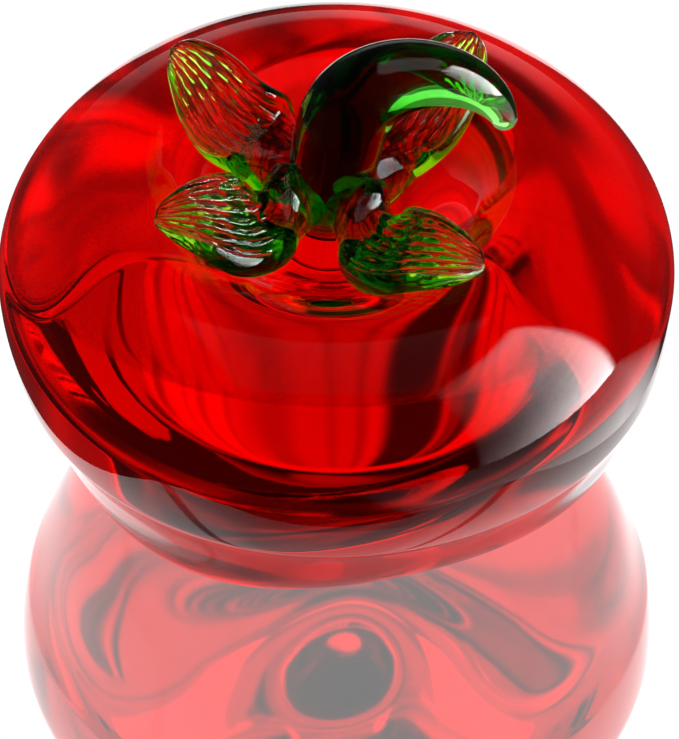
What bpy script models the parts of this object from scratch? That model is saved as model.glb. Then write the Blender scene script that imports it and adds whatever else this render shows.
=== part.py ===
# Glass tomato: a solid ruby glass fruit with a flat ground base, a hooked green glass stalk hot-joined
# into its dimple, and four ribbed sepals, each pressed from its own gather and hot-joined to the stalk.
# Metres, +Z up. The origin is the middle of the flat base, and -Y is the side that faces a viewer.

import math

import bmesh
import bpy
from mathutils import Matrix, Vector

MM = 0.001
WELD_DISTANCE = 0.005 * MM
SHARP_ANGLE = math.radians(50)
GLASS_IOR = 1.52
RUBY = (0.8, 0.01, 0.005)
STALK_GREEN = (0.05, 0.3, 0.05)
SEPAL_GREEN = (0.1, 0.45, 0.08)
POLISHED = 0.01
PRESSED = 0.02

# Fruit
BODY_RADIUS = 40 * MM
EQUATOR_HEIGHT = 32.4 * MM
SHOULDER_RISE = 21.6 * MM
SHOULDER_SQUARENESS = 1.9
BELLY_SQUARENESS = 1.9
BASE_RADIUS = 22.8 * MM
BASE_SHIFT = -0.75 * MM
BASE_LOBES = 3
BASE_LOBE_SHARE = 0.11
BASE_LOBE_TURN = math.radians(-8)
BASE_OVAL_SHARE = 0.064
BASE_OVAL_TURN = math.radians(-21)
DIMPLE_DEPTH = 15.6 * MM
DIMPLE_SPREAD = 12 * MM
BODY_SEGMENTS = 56
SHOULDER_RINGS = 13
BELLY_RINGS = 11

# Stalk, which stands in the dimple
STALK_PLACE = Vector((-0.8 * MM, -0.8 * MM))
FOOT_RADIUS = 5.3 * MM
WAIST_RADIUS = 4.6 * MM
SHANK_RADIUS = 5.3 * MM
FLARE_HEIGHT = 4 * MM
SHANK_LENGTH = 14.6 * MM
SHANK_LEAN = math.radians(13)
HOOK_RADIUS = 9.5 * MM
HOOK_SWEEP = math.radians(150)
TIP_RADIUS = 1.6 * MM
TAPER_POWER = 1.5
FLARE_RINGS = 3
SHANK_RINGS = 6
HOOK_RINGS = 16
TIP_RINGS = 3
STALK_SIDES_PER_QUARTER = 5

# Sepals. A lift is the height of a blade's middle line above the fruit under it.
NECK_HALF_WIDTH = 3.2 * MM
NECK_RISE = 5.4 * MM
NECK_DROP = 4.6 * MM
NECK_SHARE = 0.22
NECK_FADE_SHARE = 0.3
BLADE_HALF_THICKNESS = 1.1 * MM
TIP_THINNING = 0.35
THINNING_START = 0.8
ROOT_ROUNDNESS = 0.45
TIP_ROUNDNESS = 0.75
EDGE_SQUARENESS = 1.2
RIM_RISE = 0.35 * MM
RIB_COUNT = 7
RIB_RISE = 0.3 * MM
RIBBED_SHARE = 0.8
RIM_SLOPE_SHARE = 0.1
RIBS_RISE_SHARE = 0.15
RIBS_FADE_START = 0.84
TIP_CUT_SHARE = 0.985
SECTION_CROWDING = 1.15
ROOT_INSET = 2.0 * MM
ROOT_LIFT = 7.2 * MM
SEPAL_SECTIONS = 15
UPPER_POINTS = 28
LOWER_POINTS = 10

# Share of a sepal's length over which its direction is measured
SMALL_STEP = 0.01

# Hot joints are modelled face to face, with this much between two pieces
JOINT_GAP = 0.3 * MM
SEAT_MARGIN = 0.4 * MM

# Each sepal: azimuth from +X in degrees, reach from the stalk's middle, half width, bulge and sweep of
# the side nearer to the viewer, lift of the middle and of the tip, and roll in degrees, which lowers
# that side
SEPALS = {
    "sepal_front_left": (206, 22.0 * MM, 6.7 * MM, 2.8 * MM, 0.45, 6.1 * MM, 3.6 * MM, 22),
    "sepal_front_right": (317, 24.2 * MM, 6.2 * MM, 3.0 * MM, 0.35, 5.2 * MM, 2.6 * MM, 17),
    "sepal_back_right": (44, 23.2 * MM, 6.0 * MM, 2.2 * MM, -0.30, 8.4 * MM, 7.2 * MM, 4),
    "sepal_back_left": (142, 23.2 * MM, 5.8 * MM, 0.6 * MM, -0.15, 8.2 * MM, 6.6 * MM, 30),
}

SEAT_RADIUS = FOOT_RADIUS + SEAT_MARGIN
SEAT_HEIGHT = EQUATOR_HEIGHT + SHOULDER_RISE - DIMPLE_DEPTH
FOOT_HEIGHT = SEAT_HEIGHT + JOINT_GAP


def clear_scene():
    """Removes whatever the scene holds."""
    for old in list(bpy.data.objects):
        bpy.data.objects.remove(old, do_unlink=True)


def collection(name):
    """A collection in the scene."""
    made = bpy.data.collections.new(name)
    bpy.context.scene.collection.children.link(made)
    return made


def glass(name, colour, roughness):
    """Clear coloured glass: a Principled BSDF with full transmission."""
    material = bpy.data.materials.new(name)
    material.use_nodes = True
    shader = material.node_tree.nodes["Principled BSDF"]
    shader.inputs["Base Color"].default_value = (*colour, 1)
    shader.inputs["Metallic"].default_value = 0
    shader.inputs["Roughness"].default_value = roughness
    shader.inputs["Transmission Weight"].default_value = 1
    shader.inputs["IOR"].default_value = GLASS_IOR
    return material


def smooth_step(x):
    """0 below 0, 1 above 1, and an S between."""
    x = min(max(x, 0.0), 1.0)
    return x * x * (3 - 2 * x)


def realised(obj, home):
    """The object as a plain mesh with its modifiers applied and its seams welded."""
    bpy.context.view_layer.update()
    graph = bpy.context.evaluated_depsgraph_get()
    mesh = bpy.data.meshes.new_from_object(obj.evaluated_get(graph))
    shape = bmesh.new()
    shape.from_mesh(mesh)
    bmesh.ops.remove_doubles(shape, verts=shape.verts, dist=WELD_DISTANCE)
    bmesh.ops.recalc_face_normals(shape, faces=shape.faces)
    shape.to_mesh(mesh)
    shape.free()
    name, place = obj.name, obj.matrix_world.copy()
    bpy.data.objects.remove(obj, do_unlink=True)
    made = bpy.data.objects.new(name, mesh)
    made.matrix_world = place
    home.objects.link(made)
    return made


def shoulder_height(share):
    """Height of the fruit at this share of its radius, above the equator: a superellipse less a dimple
    that is flat over the stalk's seat and fades as a bell curve outside it."""
    dome = SHOULDER_RISE * (1 - share**SHOULDER_SQUARENESS) ** (1 / SHOULDER_SQUARENESS)
    outside = max(share * BODY_RADIUS - SEAT_RADIUS, 0)
    return dome - DIMPLE_DEPTH * math.exp(-((outside / DIMPLE_SPREAD) ** 2))


def belly_radius(drop):
    """Radius of the fruit at this share of the way from its equator down to its base: a superellipse
    that reaches BASE_RADIUS at the base."""
    kept = (BASE_RADIUS / BODY_RADIUS) ** BELLY_SQUARENESS
    return BODY_RADIUS * (1 - (1 - kept) * drop**BELLY_SQUARENESS) ** (1 / BELLY_SQUARENESS)


def body_profile():
    """Half section of the fruit, from the middle of the dimple out and down to the middle of the base."""
    seat = [(0, SEAT_HEIGHT), (SEAT_RADIUS, SEAT_HEIGHT)]
    first = math.asin(SEAT_RADIUS / BODY_RADIUS)
    shoulder = []
    for i in range(1, SHOULDER_RINGS):
        lean = first + (math.pi / 2 - first) * i / SHOULDER_RINGS
        share = math.sin(lean)
        shoulder.append((BODY_RADIUS * share, EQUATOR_HEIGHT + shoulder_height(share)))
    belly = []
    for i in range(BELLY_RINGS + 1):
        drop = math.sin(math.pi / 2 * i / BELLY_RINGS)
        belly.append((belly_radius(drop), EQUATOR_HEIGHT * (1 - drop)))
    return seat + shoulder + belly + [(0, 0)]


def plan_share(turn, drop):
    """How far the fruit swells from a circle at this azimuth: nothing at the equator, and a rounded
    triangle drawn out to an oval at the base."""
    lobes = BASE_LOBE_SHARE * math.cos(BASE_LOBES * (turn - BASE_LOBE_TURN))
    oval = BASE_OVAL_SHARE * math.cos(2 * (turn - BASE_OVAL_TURN))
    return 1 + (lobes + oval) * drop * drop


def pressed_out_of_round(point):
    """Where a point of the turned fruit ends up: the belly swells to the base's plan, and the dimple
    moves sideways to the stalk's place."""
    if point.z < EQUATOR_HEIGHT:
        drop = 1 - point.z / EQUATOR_HEIGHT
        swell = plan_share(math.atan2(point.y, point.x), drop)
        return Vector((point.x * swell + BASE_SHIFT * drop * drop, point.y * swell, point.z))
    outside = (point.xy.length - SEAT_RADIUS) / (BODY_RADIUS - SEAT_RADIUS)
    drift = STALK_PLACE * (1 - smooth_step(outside))
    return Vector((point.x + drift.x, point.y + drift.y, point.z))


def make_body(home):
    """The fruit: the half section turned about Z, then pressed out of round."""
    profile = body_profile()
    line = bpy.data.meshes.new("tomato_body")
    line.from_pydata([(r, 0, z) for r, z in profile], [(i, i + 1) for i in range(len(profile) - 1)], [])
    turned = bpy.data.objects.new("tomato_body", line)
    home.objects.link(turned)
    screw = turned.modifiers.new("turn", "SCREW")
    screw.axis = "Z"
    screw.angle = 2 * math.pi
    screw.steps = BODY_SEGMENTS
    screw.render_steps = BODY_SEGMENTS
    screw.use_merge_vertices = True
    screw.merge_threshold = WELD_DISTANCE
    body = realised(turned, home)
    for vertex in body.data.vertices:
        vertex.co = pressed_out_of_round(vertex.co)
    return body


def shank_radius(along):
    """Radius of the stalk below its hook: a flared foot, a waist, then a swell to the hook."""
    flare = (FOOT_RADIUS - WAIST_RADIUS) * (1 - smooth_step(along / FLARE_HEIGHT))
    swell = (SHANK_RADIUS - WAIST_RADIUS) * smooth_step(along / (FLARE_HEIGHT + SHANK_LENGTH))
    return WAIST_RADIUS + flare + swell


def hook_radius(share):
    """Radius of the stalk at this share of the hook, which tapers to the tip."""
    return TIP_RADIUS + (SHANK_RADIUS - TIP_RADIUS) * (1 - share**TAPER_POWER)


def arc(start, radius, turns):
    """Points on an arc that leaves start at the first lean from vertical and bends over to the right."""
    return [
        (
            start[0] + radius * (math.cos(turns[0]) - math.cos(turn)),
            start[1] + radius * (math.sin(turn) - math.sin(turns[0])),
        )
        for turn in turns
    ]


def stalk_route():
    """Points and radii along the stalk, as ((out, up), radius): an upright foot, a shank that leans over
    on a wide arc, the hook on a tight one, and a round tip."""
    heights = [FLARE_HEIGHT * i / FLARE_RINGS for i in range(FLARE_RINGS)]
    route = [((0, height), shank_radius(height)) for height in heights]
    leans = [SHANK_LEAN * i / SHANK_RINGS for i in range(SHANK_RINGS + 1)]
    shank = arc((0, FLARE_HEIGHT), SHANK_LENGTH / SHANK_LEAN, leans)
    for i in range(SHANK_RINGS):
        route.append((shank[i], shank_radius(FLARE_HEIGHT + SHANK_LENGTH * i / SHANK_RINGS)))
    turns = [SHANK_LEAN + HOOK_SWEEP * i / HOOK_RINGS for i in range(HOOK_RINGS + 1)]
    hook = arc(shank[-1], HOOK_RADIUS, turns)
    route += [(place, hook_radius(i / HOOK_RINGS)) for i, place in enumerate(hook)]
    out, up = hook[-1]
    for i in range(1, TIP_RINGS + 1):
        round_off = math.pi / 2 * i / (TIP_RINGS + 0.5)
        ahead = TIP_RADIUS * math.sin(round_off)
        place = (out + ahead * math.sin(turns[-1]), up + ahead * math.cos(turns[-1]))
        route.append((place, TIP_RADIUS * math.cos(round_off)))
    return route


def make_stalk(name, home, margin=0.0):
    """The stalk as a tapered tube along its route. A margin makes the fatter copy that cuts the sepals."""
    route = stalk_route()
    curve = bpy.data.curves.new(name, "CURVE")
    curve.dimensions = "3D"
    curve.bevel_depth = SHANK_RADIUS
    curve.bevel_resolution = STALK_SIDES_PER_QUARTER - 1
    curve.use_fill_caps = True
    spline = curve.splines.new("POLY")
    spline.points.add(len(route) - 1)
    for point, ((out, up), radius) in zip(spline.points, route):
        point.co = (out, 0, up, 1)
        point.radius = (radius + margin) / SHANK_RADIUS
    tube = bpy.data.objects.new(name, curve)
    home.objects.link(tube)
    foot = Vector((*STALK_PLACE, FOOT_HEIGHT - margin))
    tube.matrix_world = Matrix.Translation(foot)
    return realised(tube, home)


def blade_width(share, half_width):
    """Half width of a sepal at this share of its length: the neck, fading into a blade that is broad at
    its root and pointed at its tip."""
    neck = NECK_HALF_WIDTH * (1 - smooth_step((share - NECK_SHARE) / NECK_SHARE))
    along = max((share - NECK_SHARE) / (1 - NECK_SHARE), 0)
    widest = ROOT_ROUNDNESS / (ROOT_ROUNDNESS + TIP_ROUNDNESS)
    full = widest**ROOT_ROUNDNESS * (1 - widest) ** TIP_ROUNDNESS
    blade = half_width * along**ROOT_ROUNDNESS * (1 - along) ** TIP_ROUNDNESS / full
    return (neck**4 + blade**4) ** 0.25


def blade_thickness(share, neck_height):
    """Half thickness of a sepal: a tall neck against the stalk, thinning to the blade and to its tip."""
    neck = (neck_height - BLADE_HALF_THICKNESS) * (1 - smooth_step(share / (2 * NECK_SHARE)))
    thinning = 1 - TIP_THINNING * smooth_step((share - THINNING_START) / (1 - THINNING_START))
    return (BLADE_HALF_THICKNESS + neck) * thinning


def sepal_section(share, half_width):
    """Points round one cross section of a sepal, as (across, up): ribs and a raised rim above, plain
    below, over a superellipse that squares off from the neck to the blade."""
    width = blade_width(share, half_width)
    rise, drop = blade_thickness(share, NECK_RISE), blade_thickness(share, NECK_DROP)
    pressed = smooth_step((share - NECK_SHARE) / RIBS_RISE_SHARE)
    pressed *= 1 - smooth_step((share - RIBS_FADE_START) / (TIP_CUT_SHARE - RIBS_FADE_START))
    power = 2 + EDGE_SQUARENESS * pressed
    points = []
    for i in range(UPPER_POINTS):
        across = -math.cos(math.pi * i / UPPER_POINTS)
        up = (1 - abs(across) ** power) ** (1 / power)
        inside = smooth_step((RIBBED_SHARE - abs(across)) / RIM_SLOPE_SHARE)
        ribs = RIB_RISE * math.cos(math.pi * RIB_COUNT * across / RIBBED_SHARE) * inside
        rim = RIM_RISE * (1 - inside) * up
        points.append((across * width, up * rise + (ribs + rim) * pressed))
    for i in range(LOWER_POINTS):
        across = math.cos(math.pi * i / LOWER_POINTS)
        down = (1 - abs(across) ** power) ** (1 / power)
        points.append((across * width, -down * drop))
    return points


def fruit_height(point):
    """Height of the fruit's shoulder over or under a point."""
    outside = ((point.xy - STALK_PLACE).length - SEAT_RADIUS) / (BODY_RADIUS - SEAT_RADIUS)
    radius = (point.xy - STALK_PLACE * (1 - smooth_step(outside))).length
    return EQUATOR_HEIGHT + shoulder_height(min(radius / BODY_RADIUS, 1))


def sepal_line(share, azimuth, reach, bulge, middle_lift, tip_lift):
    """A point on a sepal's middle line. In plan it runs out from the stalk and bulges sideways, and its
    lift above the fruit is a parabola through the lifts of root, middle and tip."""
    outward = Vector((math.cos(azimuth), math.sin(azimuth)))
    sideways = Vector((-outward.y, outward.x))
    start = WAIST_RADIUS - ROOT_INSET
    plan = STALK_PLACE + outward * (start + (reach - start) * share)
    lift = ROOT_LIFT * (1 - share) * (1 - 2 * share) + middle_lift * 4 * share * (1 - share)
    lift += tip_lift * share * (2 * share - 1)
    ground = fruit_height(Vector((plan.x, plan.y, 0)))
    plan += sideways * bulge * 4 * share * (1 - share)
    return Vector((plan.x, plan.y, ground + lift))


def sepal_mesh(name):
    """A sepal lofted from its root, inside the stalk's outline, to its tip. It lies clear of the fruit."""
    azimuth, reach, half_width, bulge, sweep, middle_lift, tip_lift, roll = SEPALS[name]
    azimuth = math.radians(azimuth)
    near_side = 1 if math.cos(azimuth) < 0 else -1
    line = (azimuth, reach, bulge * near_side, middle_lift, tip_lift)
    flat = Vector((-math.sin(azimuth), math.cos(azimuth), 0))
    shape = bmesh.new()
    rings = []
    for i in range(SEPAL_SECTIONS + 1):
        share = TIP_CUT_SHARE * (1 - (1 - i / SEPAL_SECTIONS) ** SECTION_CROWDING)
        middle = sepal_line(share, *line)
        along = (sepal_line(share + SMALL_STEP, *line) - middle).normalized()
        blade = smooth_step((share - NECK_SHARE) / NECK_FADE_SHARE)
        across = Matrix.Rotation(-near_side * math.radians(roll) * blade, 3, along) @ flat
        across = (across - along * across.dot(along)).normalized()
        up = along.cross(across)
        ring = []
        for side, rise in sepal_section(share, half_width):
            swept = sweep * blade * max(side * near_side, 0)
            point = middle + across * side + up * rise + along * swept
            point.z = max(point.z, fruit_height(point) + JOINT_GAP)
            ring.append(shape.verts.new(point))
        rings.append(ring)
    count = len(rings[0])
    for near, far in zip(rings, rings[1:]):
        for j in range(count):
            k = (j + 1) % count
            shape.faces.new((near[j], near[k], far[k], far[j]))
    shape.faces.new(rings[0][::-1])
    shape.faces.new(rings[-1])
    bmesh.ops.recalc_face_normals(shape, faces=shape.faces)
    mesh = bpy.data.meshes.new(name)
    shape.to_mesh(mesh)
    shape.free()
    return mesh


def make_sector(name, cutters):
    """The upright wedge round the stalk that a sepal keeps to, up to half a joint gap short of the
    middle between it and each neighbour."""
    azimuths = sorted(values[0] for values in SEPALS.values())
    place = azimuths.index(SEPALS[name][0])
    before = (azimuths[place - 1] + azimuths[place]) / 2 - (180 if place == 0 else 0)
    after = (azimuths[place] + azimuths[(place + 1) % len(azimuths)]) / 2
    after += 180 if place == len(azimuths) - 1 else 0
    reach = 2 * BODY_RADIUS
    first, last = math.radians(before), math.radians(after)
    corner = JOINT_GAP / 2 / math.sin((last - first) / 2)
    middle = (first + last) / 2
    plan = [(corner * math.cos(middle), corner * math.sin(middle))]
    for turn in (first, middle, last):
        plan.append((plan[0][0] + reach * math.cos(turn), plan[0][1] + reach * math.sin(turn)))
    shape = bmesh.new()
    floor = shape.faces.new([shape.verts.new((*(STALK_PLACE + Vector(p)), 0)) for p in plan])
    raised = bmesh.ops.extrude_face_region(shape, geom=[floor])["geom"]
    top = [item for item in raised if isinstance(item, bmesh.types.BMVert)]
    bmesh.ops.translate(shape, verts=top, vec=(0, 0, 2 * BODY_RADIUS))
    bmesh.ops.recalc_face_normals(shape, faces=shape.faces)
    mesh = bpy.data.meshes.new(name + "_sector")
    shape.to_mesh(mesh)
    shape.free()
    sector = bpy.data.objects.new(name + "_sector", mesh)
    cutters.objects.link(sector)
    as_cutter(sector)
    return sector


def as_cutter(obj):
    """Keeps a helper out of renders and draws it as wire."""
    obj.hide_render = True
    obj.display_type = "WIRE"


def make_sepal(name, home, cutters, stalk_outline):
    """One sepal, cut back to the stalk and kept to its own sector, so that the necks meet face to face."""
    sepal = bpy.data.objects.new(name, sepal_mesh(name))
    home.objects.link(sepal)
    for operation, cutter in (("INTERSECT", make_sector(name, cutters)), ("DIFFERENCE", stalk_outline)):
        cut = sepal.modifiers.new(cutter.name, "BOOLEAN")
        cut.operation = operation
        cut.object = cutter
    return realised(sepal, home)


def finish(obj, material, part):
    """Gives a piece its glass, shades it smooth and hangs it from the part's empty."""
    obj.data.materials.clear()
    obj.data.materials.append(material)
    obj.data.shade_smooth()
    obj.data.set_sharp_from_angle(angle=SHARP_ANGLE)
    obj.parent = part


def main():
    clear_scene()
    home = collection("glass_tomato")
    cutters = collection("cutters")
    ruby = glass("ruby_glass", RUBY, POLISHED)
    part = bpy.data.objects.new("glass_tomato_origin", None)
    home.objects.link(part)
    finish(make_body(home), ruby, part)
    finish(make_stalk("stalk", home), glass("stalk_glass", STALK_GREEN, POLISHED), part)
    outline = make_stalk("stalk_outline", cutters, JOINT_GAP)
    as_cutter(outline)
    for name in SEPALS:
        sepal = make_sepal(name, home, cutters, outline)
        finish(sepal, glass(name + "_glass", SEPAL_GREEN, PRESSED), part)


main()
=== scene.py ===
# %% [markdown]
# # A solid glass tomato
#
# The real object is a hand-made paperweight: a lump of ruby glass worked into a tomato and ground flat
# underneath, with a hooked stalk and four ribbed sepals of green glass joined to it while hot. This lesson
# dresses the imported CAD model: each node is replaced by a smoother, more detailed piece in the same place.

import math

import bpy
import numpy as np
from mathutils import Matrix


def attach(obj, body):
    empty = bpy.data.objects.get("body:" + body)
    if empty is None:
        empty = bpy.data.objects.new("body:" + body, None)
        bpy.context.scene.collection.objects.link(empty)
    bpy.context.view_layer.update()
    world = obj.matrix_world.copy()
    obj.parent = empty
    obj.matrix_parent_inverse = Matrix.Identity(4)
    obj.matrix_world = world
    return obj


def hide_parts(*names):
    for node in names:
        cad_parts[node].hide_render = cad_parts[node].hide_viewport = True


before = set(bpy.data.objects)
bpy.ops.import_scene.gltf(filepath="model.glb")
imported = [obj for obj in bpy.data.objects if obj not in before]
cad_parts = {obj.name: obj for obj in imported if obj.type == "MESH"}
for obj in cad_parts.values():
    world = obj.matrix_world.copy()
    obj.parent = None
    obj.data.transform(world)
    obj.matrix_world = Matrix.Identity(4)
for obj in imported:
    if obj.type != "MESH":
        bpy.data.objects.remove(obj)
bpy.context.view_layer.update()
print("nodes:", sorted(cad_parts))

# %% [markdown]
# ## Sizes
#
# These are the measures of the solids, in metres, so every piece lands where its node is. The fruit is a
# superellipse turned about Z, with a dimple, and pressed out of round towards its base.

# %% Named sizes
MM = 0.001
BODY_RADIUS = 40 * MM
EQUATOR_HEIGHT = 32.4 * MM
SHOULDER_RISE = 21.6 * MM
SQUARENESS = 1.9
BASE_RADIUS = 22.8 * MM
BASE_SHIFT = -0.75 * MM
BASE_LOBES = 3
BASE_LOBE_SHARE = 0.11
BASE_LOBE_TURN = math.radians(-8)
BASE_OVAL_SHARE = 0.064
BASE_OVAL_TURN = math.radians(-21)
BASE_ROUNDING = 0.5 * MM
DIMPLE_DEPTH = 15.6 * MM
DIMPLE_SPREAD = 12 * MM
STALK_PLACE = np.array([-0.8 * MM, -0.8 * MM])
FOOT_RADIUS = 5.3 * MM
SEAT_RADIUS = FOOT_RADIUS + 0.4 * MM
SEAT_HEIGHT = EQUATOR_HEIGHT + SHOULDER_RISE - DIMPLE_DEPTH
WAIST_RADIUS = 4.6 * MM
FLARE_HEIGHT = 4 * MM

# %% [markdown]
# ## A surface from a grid
#
# Each piece of glass is one closed skin. Its points come from a formula as a grid of rings, and one helper
# turns such a grid into a mesh: quads between the rings, and a fan of triangles at each end.


# %% Helpers for grids
def smooth_step(x):
    """0 below 0, 1 above 1, and the cubic 3x^2 - 2x^3 between."""
    x = np.clip(x, 0, 1)
    return x * x * (3 - 2 * x)


def closed_surface(name, rings, first_pole, last_pole):
    """A mesh object from rings (count, around, 3) and the two points that close it. The rings run
    anticlockwise as seen from ahead, so that faces point outwards."""
    count, around = rings.shape[:2]
    points = np.concatenate([rings.reshape(-1, 3), [first_pole, last_pole]])
    index = np.arange(count * around).reshape(count, around)
    after = np.roll(index, -1, axis=1)
    quads = np.stack([index[:-1], after[:-1], after[1:], index[1:]], axis=-1).reshape(-1, 4)
    first, last = count * around, count * around + 1
    start_fan = np.stack([np.full(around, first), after[0], index[0]], axis=-1)
    end_fan = np.stack([np.full(around, last), index[-1], after[-1]], axis=-1)
    mesh = bpy.data.meshes.new(name)
    mesh.from_pydata(points.tolist(), [], quads.tolist() + start_fan.tolist() + end_fan.tolist())
    mesh.shade_smooth()
    made = bpy.data.objects.new(name, mesh)
    bpy.context.scene.collection.objects.link(made)
    print(f"{name}: {len(mesh.polygons)} faces, {points.min(0) / MM} to {points.max(0) / MM} mm")
    return made


# %% [markdown]
# ## The fruit
#
# On the real object this is a solid lump, 80 mm across. Its dimple is where the stalk was joined, and its
# flat base was ground and polished. A turned profile would be too regular, so the belly also swells to a
# rounded triangle at the base, as a lump of soft glass does where it stood.
#
# Two small forms are in this lesson alone. A crease runs round the front and the sides over a shallow
# hollow, as a wet block can leave when it shapes the lump, and its edge catches the light. A low boss of
# ruby glass is drawn up into the foot of the stalk, so the seam of the colours lies above the seat.

# %% The fruit's measures
BOSS_HEIGHT = 3.6 * MM
CREASE_HEIGHT = 24 * MM
CREASE_SLOPE = 0.3
CREASE_WIDTH = 0.3 * MM
CREASE_FADE_START = -0.1
CREASE_FADE = 0.8
WALL_HEIGHT = 16 * MM
BOSS_RINGS = 8
FOOT_RINGS = 12
SHOULDER_RINGS = 120
BELLY_DROPS = (0, 0.2, 0.32, 0.97)
BELLY_RINGS = (24, 24, 40, 22)
BASE_RINGS = 80
FRUIT_AROUND = 300


# %% The fruit's profile
def shoulder_height(share):
    """Height above the equator at this share of the radius: a superellipse less a bell-shaped dimple
    that is flat over the stalk's seat."""
    dome = SHOULDER_RISE * np.clip(1 - share**SQUARENESS, 0, 1) ** (1 / SQUARENESS)
    outside = np.maximum(share * BODY_RADIUS - SEAT_RADIUS, 0)
    return dome - DIMPLE_DEPTH * np.exp(-((outside / DIMPLE_SPREAD) ** 2))


def rounded_floor(height):
    """The larger of the height and 0, with the corner between them rounded as a parabola."""
    corner = (height + BASE_ROUNDING) ** 2 / (4 * BASE_ROUNDING)
    return np.where(height > BASE_ROUNDING, height, np.where(height < -BASE_ROUNDING, 0, corner))


def foot_radius(rise):
    """Radius of the stalk's foot at a height over its seat, where it flares out to meet the fruit."""
    return WAIST_RADIUS + (FOOT_RADIUS - WAIST_RADIUS) * (1 - smooth_step(rise / FLARE_HEIGHT))


def belly_radius(drop):
    """The belly's radius where the way down from equator to base is drop, from 0 to 1: a superellipse,
    (1 - (1 - foot^n) drop^n)^(1/n) times the largest radius."""
    kept = (BASE_RADIUS / BODY_RADIUS) ** SQUARENESS
    return BODY_RADIUS * (1 - (1 - kept) * drop**SQUARENESS) ** (1 / SQUARENESS)


def hollow_depth(drop):
    """Depth of the shallow hollow under the crease: slope below (1 - below / height)^2, where below is how
    far a point is under the crease, or 0 over it, with the corner between the two rounded."""
    below = EQUATOR_HEIGHT * drop - (EQUATOR_HEIGHT - CREASE_HEIGHT)
    below = (below + np.hypot(below, CREASE_WIDTH)) / 2
    return CREASE_SLOPE * below * np.clip(1 - below / WALL_HEIGHT, 0, 1) ** 2


def fruit_profile():
    """Radius, height, drop and hollow of the half section, from the dimple out and down to the base. The
    rings of the belly stand closest at the crease and at the rounding of the base."""
    boss = np.linspace(0, WAIST_RADIUS, BOSS_RINGS)[1:-1]
    rise = np.linspace(BOSS_HEIGHT, 0, FOOT_RINGS)
    lean = np.linspace(math.asin(SEAT_RADIUS / BODY_RADIUS), math.pi / 2, SHOULDER_RINGS)
    share = np.sin(lean)
    lowest = 1 + BASE_ROUNDING / EQUATOR_HEIGHT
    ends = (*BELLY_DROPS, lowest)
    spans = zip(ends[:-1], ends[1:], BELLY_RINGS)
    drop = np.concatenate([np.linspace(*span)[1:] for span in spans])
    belly = belly_radius(drop)
    base = np.linspace(1, 0, BASE_RINGS)[1:-1] * belly[-1]
    radius = np.concatenate([boss, foot_radius(rise), BODY_RADIUS * share, belly, base])
    lower = rounded_floor(EQUATOR_HEIGHT * (1 - drop))
    top = SEAT_HEIGHT + np.concatenate([BOSS_HEIGHT + 0 * boss, rise])
    height = np.concatenate([top, EQUATOR_HEIGHT + shoulder_height(share), lower, 0 * base])
    drops = np.concatenate([0 * top, 0 * share, drop, lowest + 0 * base])
    return radius, height, drops, hollow_depth(drops) * (drops > 0)


# %% The fruit's surface
def fruit_surface():
    """Rings of the fruit: the half section turned about Z, with the hollow fading out at the back, swollen
    towards the base by a wave of three lobes and one of two, and with the dimple drawn sideways to the
    stalk's place."""
    radius, height, drop, hollow = (row[:, None] for row in fruit_profile())
    turn = np.linspace(0, 2 * math.pi, FRUIT_AROUND, endpoint=False)[None, :]
    creased = 1 - smooth_step((np.sin(turn) - CREASE_FADE_START) / CREASE_FADE)
    radius = radius - hollow * creased
    lobes = BASE_LOBE_SHARE * np.cos(BASE_LOBES * (turn - BASE_LOBE_TURN))
    oval = BASE_OVAL_SHARE * np.cos(2 * (turn - BASE_OVAL_TURN))
    swell = 1 + (lobes + oval) * drop**2
    drift = 1 - smooth_step((radius - SEAT_RADIUS) / (BODY_RADIUS - SEAT_RADIUS))
    drift = np.where(height < EQUATOR_HEIGHT, 0, drift) * (drop == 0)
    x = radius * swell * np.cos(turn) + BASE_SHIFT * drop**2 + STALK_PLACE[0] * drift
    y = radius * swell * np.sin(turn) + STALK_PLACE[1] * drift
    return np.stack([x, y, height + 0 * turn], axis=-1)


rings = fruit_surface()
fruit = closed_surface(
    "ruby_fruit", rings[:, ::-1], (*STALK_PLACE, SEAT_HEIGHT + BOSS_HEIGHT), rings[-1].mean(0)
)
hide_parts("tomato_body")
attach(fruit, "root")

# %% [markdown]
# ## The stalk
#
# A gather of green glass is set in the dimple, pulled up and bent over while it is soft, so it is thick at
# its root and thin and round at its tip. It is a tube whose radius changes along a path of two arcs.

# %% The stalk's measures
SHANK_RADIUS = 5.3 * MM
SHANK_LENGTH = 14.6 * MM
SHANK_LEAN = math.radians(13)
HOOK_RADIUS = 9.5 * MM
HOOK_SWEEP = math.radians(150)
TIP_RADIUS = 1.6 * MM
TIP_POINT_SHARE = 0.005
TAPER_POWER = 1.5
SUNK = 0.1 * MM
SHANK_STEPS = 40
HOOK_STEPS = 120
TIP_STEPS = 16
STALK_AROUND = 96
SHARP_ANGLE = math.radians(60)


# %% The stalk's surface
def arc(start, radius, leans):
    """Points (out, up) on an arc of this radius that leaves start at the first lean from upright."""
    out = start[0] + radius * (np.cos(leans[0]) - np.cos(leans))
    up = start[1] + radius * (np.sin(leans) - np.sin(leans[0]))
    return np.stack([out, up], axis=-1)


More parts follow.
